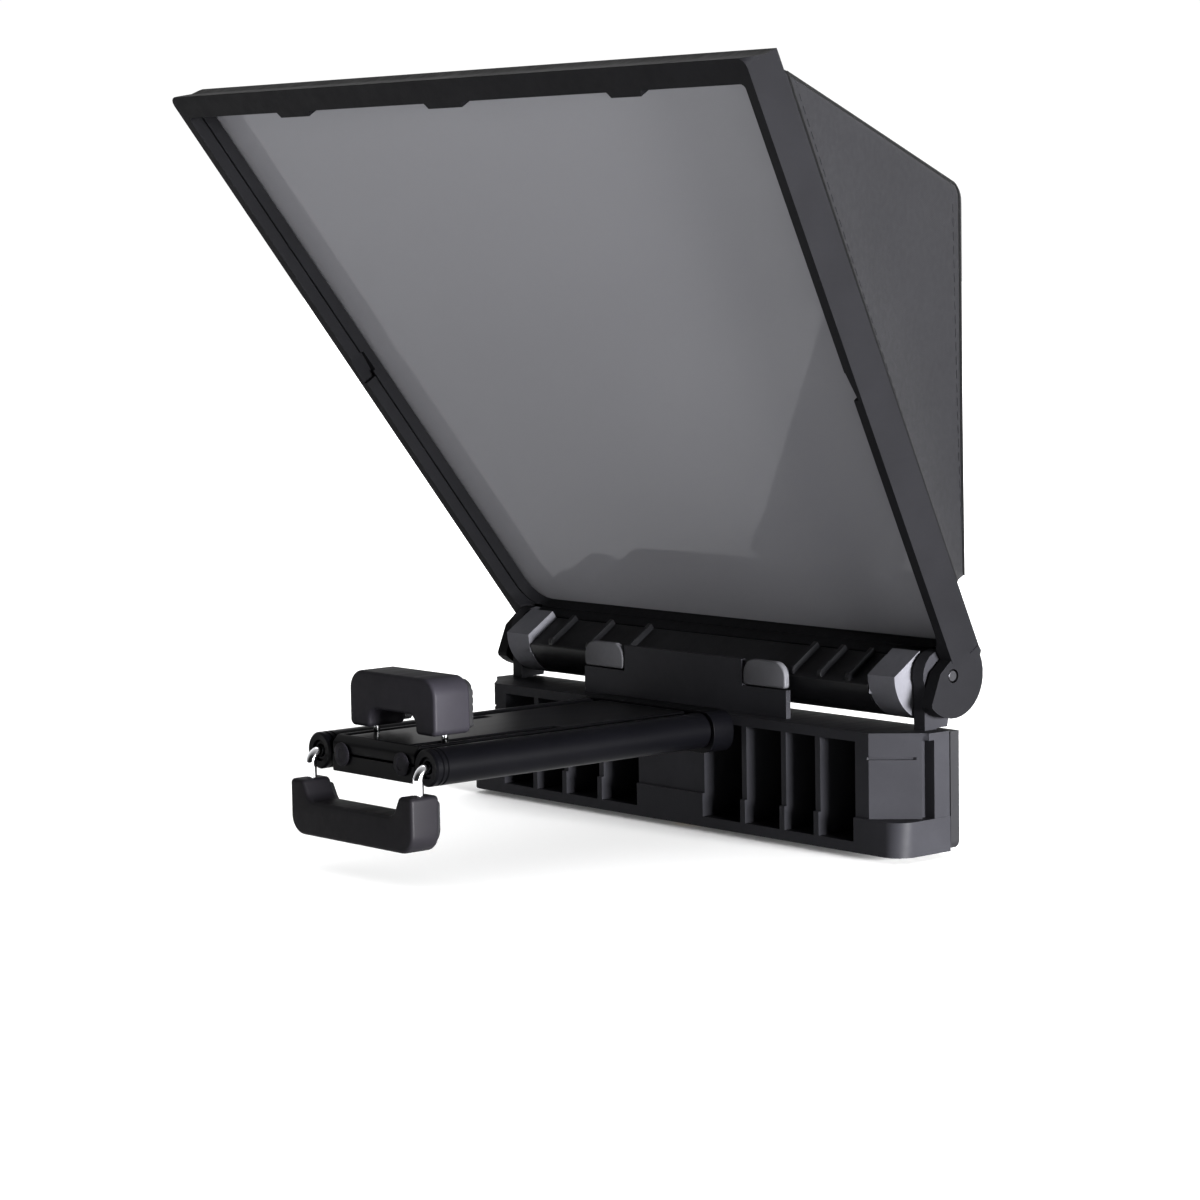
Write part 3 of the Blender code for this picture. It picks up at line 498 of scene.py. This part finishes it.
for k in range(4):
    a = math.radians(45 + 90 * k)
    x, z = 40.9 * math.cos(a), 40.9 * math.sin(a)
    s = screw(f"ring_screw_head_{k + 1}", "black_screw", (x, -2.3, z), (0, 1, 0), 1.7, 1.1, 0.55, 5.8, 0.75)
    stand_for(s, "rear_plate", "steel", f"ring_screw_{k + 1}")
for i, x in enumerate((-48.0, 0.0, 48.0)):
    at = fpt(x, 3.6, -3.4)
    s = screw(f"sill_screw_head_{i + 1}", "black_screw", at, fpt(0, 0, -1) - fpt(0, 0, 0), 1.8, 1.1, 0.6, 4.4, 0.8)
    stand_for(s, "frame", "steel", f"sill_screw_{i + 1}")
for i, (x, z) in enumerate(((-68.0, -95.0), (-36.0, -87.0), (36.0, -87.0), (68.0, -95.0))):
    s = screw(f"base_screw_head_{i + 1}", "black_screw", (x, -8.7, z), (0, 1, 0), 2.1, 1.0, 0.6, 3.2, 0.95)
    stand_for(s, "base", "steel", f"base_screw_{i + 1}")

# ------------------------------------------------------------------ tripod insert, threaded
prof = [(5.0, -100.7), (5.0, -92.1), (0, -92.1)]
top = [(0, -93.6), (2.9, -93.6)]
z = -93.8
while z > -99.6:
    top += [(2.95, z), (3.35, z - 0.35), (3.35, z - 0.45), (2.95, z - 0.8)]
    z -= 1.27
top += [(3.0, -100.1), (3.6, -100.7)]
prof = [(r, h) for r, h in ([(3.6, -100.7), (5.0, -100.7), (5.0, -92.1), (0, -92.1)])]
outer = lathe("tripod_thread_insert", "brass", prof[1:] + [(0, -93.6)] + top[1:], (0, -18.0, 0), (0, 0, 1), 56, closed=True)
stand_for(outer, "base", "brass", "tripod_insert")

# ------------------------------------------------------------------ arm tubes, with turned grip bands
for s, tag in SIDES:
    x = s * TUBE_X
    prof = [(2.4, -112.9), (3.7, -113.0), (4.08, -112.6)]
    for k in range(2):
        y = -111.6 + 1.3 * k
        prof += [(4.08, y), (3.85, y + 0.15), (3.85, y + 0.45), (4.08, y + 0.6)]
    prof += [(4.08, -34.4), (3.6, -34.35), (3.6, -29.85), (0, -29.85), (0, -31.6), (2.4, -31.6)]
    tube = lathe(f"arm_tube_turned_{tag}", "arm", prof, (x, 0, ARM_Z), (0, 1, 0), 64, closed=True)
    stand_for(tube, "arm", "arm_plastic", f"arm_tube_{tag}")
    boss = lathe(f"arm_front_boss_{tag}", "jaw", [(0, 0.4), (2.6, 0.4), (2.6, 0.12), (2.42, 0.0), (1.4, 0.0), (1.3, 0.12), (0, 0.12)],
                 (s * 10.7, -113.3, ARM_Z), (0, 1, 0), 40)
    stand_for(boss, "arm", "arm_plastic", f"arm_boss_{tag}")

# ------------------------------------------------------------------ phone jaw
jaw = prism("phone_jaw_moulding", "jaw", "y", fillet([
    (-15.2, -71.2, 1.4), (-8.2, -71.2, 1.0), (-8.2, -67.0, 2.6), (8.2, -67.0, 2.6), (8.2, -71.2, 1.0),
    (15.2, -71.2, 1.4), (15.2, -58.8, 4.2), (-15.2, -58.8, 4.2)], 12), -107.2, -97.2, 0.75, 4)
stand_for(jaw, "phone_jaw", "jaw_plastic", "phone_jaw")
pad = prism("phone_jaw_soft_pad", "rubber", "y", fillet([
    (-13.0, -70.6, 0.9), (-8.8, -70.6, 0.9), (-8.8, -66.4, 1.8), (8.8, -66.4, 1.8), (8.8, -70.6, 0.9),
    (13.0, -70.6, 0.9), (13.0, -60.0, 3.2), (-13.0, -60.0, 3.2)], 10), -96.95, -94.5, 0.5, 3)
grooves = []
for k in range(5):
    z = -68.9 + 1.75 * k
    g = prism(f"pad_groove_{k}", "rubber", "x", [(-94.9, z - 0.3), (-94.2, z - 0.3), (-94.2, z + 0.3), (-94.9, z + 0.3)], -20, 20, 0.01, 0)
    grooves.append(g)
carve(pad, grooves)
stand_for(pad, "phone_jaw", "rubber", "phone_jaw_pad")
for s, tag in SIDES:
    post = lathe(f"phone_jaw_steel_post_{tag}", "chrome", [(0, -78.0), (0.6, -78.0), (0.78, -77.8), (0.78, -68.2), (0.6, -68.0), (0, -68.0)],
                 (s * 12.2, -102.2, 0), (0, 0, 1), 32)
    stand_for(post, "phone_jaw", "chrome", f"phone_jaw_post_{tag}")


def helix(r, y0, y1, turns, x, z, per=20):
    n = turns * per
    return [(x + r * math.cos(2 * math.pi * k / per), y0 + (y1 - y0) * k / n,
             z + r * math.sin(2 * math.pi * k / per)) for k in range(n + 1)]


sp = wire("phone_jaw_coil", "steel", helix(1.0, -94.7, -40.1, 26, 0, -78.05), 0.2, 2)
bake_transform(sp, "phone_jaw", "arm", start=(0, -0.0947, -0.078), end=(0, -0.0401, -0.078))
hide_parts("phone_jaw_spring")

# ------------------------------------------------------------------ tablet jaw on its chrome rods
tj = prism("tablet_jaw_moulding", "tjaw", "y", fillet([
    (-21.8, -94.7, 4.2), (21.8, -94.7, 4.2), (21.8, -82.5, 1.0), (17.2, -82.5, 1.1),
    (15.0, -87.0, 3.0), (-15.0, -87.0, 3.0), (-17.2, -82.5, 1.1), (-21.8, -82.5, 1.0)], 12), -119.1, -111.5, 0.8, 4)
stand_for(tj, "tablet_jaw", "black_plastic", "tablet_jaw")
tp = prism("tablet_jaw_soft_pad", "rubber", "y", fillet([
    (-20.4, -93.4, 3.2), (20.4, -93.4, 3.2), (20.4, -84.0, 0.9), (17.8, -84.0, 0.9),
    (15.5, -88.0, 2.4), (-15.5, -88.0, 2.4), (-17.8, -84.0, 0.9), (-20.4, -84.0, 0.9)], 10), -111.25, -110.15, 0.35, 3)
stand_for(tp, "tablet_jaw", "rubber", "tablet_jaw_pad")
for s, tag in SIDES:
    x = s * TUBE_X
    bend = [(x, -115.1 + 2.7 - 2.7 * math.sin(math.radians(t)), ARM_Z - 2.7 + 2.7 * math.cos(math.radians(t)))
            for t in range(0, 91, 6)]
    rod = wire(f"tablet_jaw_rod_{tag}", "chrome", [(x, -47.0, ARM_Z), (x, -80.0, ARM_Z)] + bend + [(x, -115.1, -87.9)], 1.18, 10)
    stand_for(rod, "tablet_jaw", "chrome", f"tablet_rod_{tag}")
    sp = wire(f"tablet_jaw_coil_{tag}", "steel", helix(1.76, -109.5, -47.7, 26, x, ARM_Z), 0.2, 2)
    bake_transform(sp, "arm", "tablet_jaw", start=(x * MM, -0.1095, ARM_Z * MM), end=(x * MM, -0.0477, ARM_Z * MM))
    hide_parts(f"tablet_spring_{tag}")
    x0, x1 = sorted((s * 20.9, s * 34.8))
    b = prism(f"rear_bumper_{tag}", "bumper", "y", fillet([(x0, -67.2, 0.8), (x1, -67.2, 0.8), (x1, -61.2, 3.4), (x0, -61.2, 3.4)], 10),
              -22.15, -20.5, 0.45, 3)
    stand_for(b, "base", "rubber", f"stop_bumper_{tag}")

# ------------------------------------------------------------------ sewn hood
NT, R0, R1 = 30, 1.6, 4.6
FRONT = [fpt(-(half_width(18) - 1.2), 10.95, 18.0), fpt(-(half_width(147.5) - 1.3), 10.95, 147.6),
         fpt(half_width(147.5) - 1.3, 10.95, 147.6), fpt(half_width(18) - 1.2, 10.95, 18.0)]
REAR = [Vector((-74.75, -6.0, -40.0)), Vector((-74.75, -6.0, 45.8)), Vector((74.75, -6.0, 45.8)), Vector((74.75, -6.0, -40.0))]


def section(t, n_side=30, n_arc=8, n_top=40):
    """Points round the hood at t, from the frame (0) to the rear plate (1): (point, share along the panel, outward)."""
    c = [a.lerp(b, t) for a, b in zip(FRONT, REAR)]
    r = R0 + (R1 - R0) * t
    out = []
    up0, over, up1 = (c[1] - c[0]).normalized(), (c[2] - c[1]).normalized(), (c[2] - c[3]).normalized()
    for k in range(n_side):
        s = k / n_side
        out.append((c[0].lerp(c[1] - up0 * r, s), s, Vector((-1, 0, 0.0))))
    a, b = c[1] - up0 * r, c[1] + over * r
    for k in range(n_arc + 1):
        q = k / n_arc
        out.append(((1 - q) ** 2 * a + 2 * q * (1 - q) * c[1] + q * q * b, 0.0, Vector((-1, 0, 1))))
    for k in range(1, n_top):
        s = k / n_top
        out.append(((c[1] + over * r).lerp(c[2] - over * r, s), s, Vector((0, 0.3, 1))))
    a, b = c[2] - over * r, c[2] - up1 * r
    for k in range(n_arc + 1):
        q = k / n_arc
        out.append(((1 - q) ** 2 * a + 2 * q * (1 - q) * c[2] + q * q * b, 0.0, Vector((1, 0, 1))))
    for k in range(1, n_side + 1):
        s = 1 - k / n_side
        out.append(((c[2] - up1 * r).lerp(c[3], k / n_side), s, Vector((1, 0, 0))))
    return out


def sag(s, t):
    """Depth of the taut cloth's hollow, with faint pulls from the corners."""
    hollow = 1.5 * math.sin(math.pi * s) * math.sin(math.pi * min(1, max(0, t)))
    pulls = 0.16 * math.sin(9 * s + 5 * t) * math.sin(math.pi * t) * math.sin(math.pi * s)
    return hollow + pulls


def hood_point(i, t, lift=0.0):
    p, s, n = section(t)[i]
    n = n.normalized()
    return p - n * (sag(s, t) - lift)


def hood_strip(name, key, t_values, i_range, lift, thick):
    bm = bmesh.new()
    uv = bm.loops.layers.uv.new("flat")
    rows = []
    for t in t_values:
        sec = section(t)
        row, run, prev = [], 0.0, None
        for i in i_range:
            p, s, n = sec[i]
            q = p - n.normalized() * (sag(s, t) - lift)
            run += (p - prev).length if prev is not None else 0.0
            prev = p
            row.append((bm.verts.new(q * MM), run * MM))
        mid = row[-1][1] / 2
        rows.append([(v, r - mid) for v, r in row])
    depth = 0.0
    depths = [0.0]
    for a, b in zip(rows, rows[1:]):
        m = len(a) // 2
        depth += (a[m][0].co - b[m][0].co).length
        depths.append(depth)
    for j in range(len(rows) - 1):
        for k in range(len(rows[j]) - 1):
            quad = (rows[j][k], rows[j][k + 1], rows[j + 1][k + 1], rows[j + 1][k])
            f = bm.faces.new([v for v, _ in quad])
            for lp, (v, r), d in zip(f.loops, quad, (depths[j], depths[j], depths[j + 1], depths[j + 1])):
                lp[uv].uv = (r, d)
    area = sum(f.calc_area() for f in bm.faces)
    bmesh.ops.recalc_face_normals(bm, faces=bm.faces)
    me = bpy.data.meshes.new(name)
    bm.to_mesh(me)
    bm.free()
    ob = link(name, me, key, 50)
    m = ob.modifiers.new("thickness", "SOLIDIFY")
    m.thickness = thick * MM
    m.offset = 0.0
    bpy.context.view_layer.update()
    ob.data = bpy.data.meshes.new_from_object(ob.evaluated_get(bpy.context.evaluated_depsgraph_get()))
    ob.data.name = name
    ob.modifiers.clear()
    ob.data.shade_smooth()
    return ob, area


def hood_blend(ob):
    """The hood folds like a fan about the hood pivot: each point turns by its own share of the angle
    between the rear plate and the frame, so it closes flat between them."""
    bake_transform(ob, "rear_plate", "frame", start=(0, -0.006, -0.02), end=(0, -0.05, -0.02))
    att = ob.data.attributes["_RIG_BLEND"]
    for v, w in zip(ob.data.vertices, att.data):
        y, z = v.co.y * 1000 - P.y, v.co.z * 1000 - P.z
        w.value = max(0.0, min(1.0, math.atan2(-y, z) / math.radians(33.0)))
    return ob


COUNT = len(section(0.5))
ts = [k / NT for k in range(NT + 1)]
hood, area = hood_strip("hood_cover", "cloth", ts, range(COUNT), 0.0, 0.55)
hood_blend(hood)
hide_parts("hood_side_left", "hood_side_right", "hood_top")


def along(t, i_values, lift):
    return [hood_point(i, t, lift) for i in i_values]


def corner_index(side):
    return 30 + 4 if side < 0 else COUNT - 1 - 30 - 4


for s, tag in SIDES:                                # bound seam along each long top fold
    pts = [hood_point(corner_index(s), k / 40, 0.25) for k in range(1, 40)]
    piping = wire(f"hood_seam_binding_{tag}", "binding", pts, 0.5, 3)
    hood_blend(piping)
hem = wire("hood_front_hem", "binding", along(0.02, range(0, COUNT), 0.18), 0.42, 3)
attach(hem, "frame")
hem_back = wire("hood_rear_hem", "binding", along(0.985, range(0, COUNT), 0.18), 0.42, 3)
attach(hem_back, "rear_plate")


def stitches(name, path, pitch, dash, r):
    """Short stitches laid end to end along a path: one mesh of small rounded threads."""
    bm = bmesh.new()
    run, acc = [0.0], 0.0
    for a, b in zip(path, path[1:]):
        acc += (b - a).length
        run.append(acc)

    def at(d):
        for k in range(len(run) - 1):
            if run[k + 1] >= d:
                f = (d - run[k]) / max(1e-9, run[k + 1] - run[k])
                return path[k].lerp(path[k + 1], f)
        return path[-1]
    d = pitch
    while d + dash < acc - pitch:
        a, b = at(d), at(d + dash)
        ax = (b - a).normalized()
        u = ax.orthogonal().normalized()
        v = ax.cross(u)
        rings = []
        for q, rr in ((0, 0.35), (0.15, 0.85), (0.5, 1.0), (0.85, 0.85), (1, 0.35)):
            c = a.lerp(b, q)
            rings.append([bm.verts.new(((c + (u * math.cos(t) + v * math.sin(t)) * r * rr)) * MM)
                          for t in [2 * math.pi * k / 8 for k in range(8)]])
        for x0, x1 in zip(rings, rings[1:]):
            for k in range(8):
                bm.faces.new((x0[k], x0[(k + 1) % 8], x1[(k + 1) % 8], x1[k]))
        bm.faces.new(rings[0])
        bm.faces.new(rings[-1])
        d += pitch
    bmesh.ops.recalc_face_normals(bm, faces=bm.faces)
    me = bpy.data.meshes.new(name)
    bm.to_mesh(me)
    bm.free()
    return link(name, me, "thread", 60)


st = stitches("hood_stitches_front", along(0.055, range(2, COUNT - 2), 0.3), 3.0, 2.0, 0.16)
hood_blend(st)
st = stitches("hood_stitches_rear", along(0.945, range(2, COUNT - 2), 0.3), 3.0, 2.0, 0.16)
hood_blend(st)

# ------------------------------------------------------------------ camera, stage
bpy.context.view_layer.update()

cam = bpy.data.cameras.new("camera")
cam.lens, cam.sensor_width, cam.clip_start, cam.clip_end = 106.965, 36.0, 0.02, 20.0
cam_ob = bpy.data.objects.new("camera", cam)
bpy.context.scene.collection.objects.link(cam_ob)
a, e, r = math.radians(49.378), math.radians(5.889), math.radians(-0.933)
right = Vector((math.cos(a), math.sin(a), 0))
back = Vector((math.sin(a) * math.cos(e), -math.cos(a) * math.cos(e), math.sin(e)))
up = back.cross(right)
right2 = right * math.cos(r) + up * math.sin(r)
up2 = up * math.cos(r) - right * math.sin(r)
rot = Matrix((right2, up2, back)).transposed()
cam_ob.matrix_world = Matrix.Translation((0.61436, -0.57382, 0.03617)) @ rot.to_4x4()
bpy.context.scene.camera = cam_ob

# floor: one pale sheet under everything
bm = bmesh.new()
bmesh.ops.create_grid(bm, x_segments=2, y_segments=2, size=6.0)
me = bpy.data.meshes.new("floor")
bm.to_mesh(me)
bm.free()
floor = bpy.data.objects.new("floor", me)
floor.location = (0, 0, -0.1022)
bpy.context.scene.collection.objects.link(floor)
fm, nt, p = new_mat("pale_floor")
p.inputs["Base Color"].default_value = (0.93, 0.93, 0.93, 1)
p.inputs["Roughness"].default_value = 0.9
p.inputs["Specular IOR Level"].default_value = 0.1
fall = fm.node_tree.nodes.new("ShaderNodeVectorMath")     # the sheet runs out into the white backdrop
fall.operation = "LENGTH"
fm.node_tree.links.new(add(nt, "ShaderNodeTexCoord").outputs["Object"], fall.inputs[0])
glow = remap(nt, fall.outputs["Value"], 0.08, 1.0, 0.25, 0.8)
nt.links.new(glow, p.inputs["Emission Strength"])
p.inputs["Emission Color"].default_value = (1, 1, 1, 1)
me.materials.append(fm)


def area_light(name, loc, target, size, power, size_y=None, spread=None):
    ld = bpy.data.lights.new(name, "AREA")
    ld.energy = power
    ld.size = size
    if size_y:
        ld.shape, ld.size_y = "RECTANGLE", size_y
    ob = bpy.data.objects.new(name, ld)
    ob.location = loc
    ob.rotation_euler = (Vector(target) - Vector(loc)).to_track_quat("-Z", "Y").to_euler()
    bpy.context.scene.collection.objects.link(ob)
    return ob


area_light("key", (1.5, -0.10, 0.04), (0, -0.06, -0.01), 0.6, 185, 0.26)
area_light("top", (-0.1, 0.6, 1.5), (0, -0.05, -0.1), 1.4, 12, 1.4)
world = bpy.data.worlds.new("studio")
bpy.context.scene.world = world
world.use_nodes = True
wt = world.node_tree
bg = wt.nodes["Background"]
bg.inputs["Color"].default_value = (1, 1, 1, 1)
gen = wt.nodes.new("ShaderNodeTexCoord")
dot = wt.nodes.new("ShaderNodeVectorMath")
dot.operation = "DOT_PRODUCT"
dot.inputs[1].default_value = (-0.45, 0.85, 0.25)
ramp = wt.nodes.new("ShaderNodeMapRange")
for k, v in (("From Min", -0.6), ("From Max", 0.55), ("To Min", 0.03), ("To Max", 1.02)):
    ramp.inputs[k].default_value = v
wt.links.new(gen.outputs["Generated"], dot.inputs[0])
wt.links.new(dot.outputs["Value"], ramp.inputs["Value"])
wt.links.new(ramp.outputs["Result"], bg.inputs["Strength"])
bpy.context.scene.view_settings.view_transform = "Standard"
bpy.context.scene.view_settings.gamma = 0.84          # studio contrast: deep blacks, white unchanged
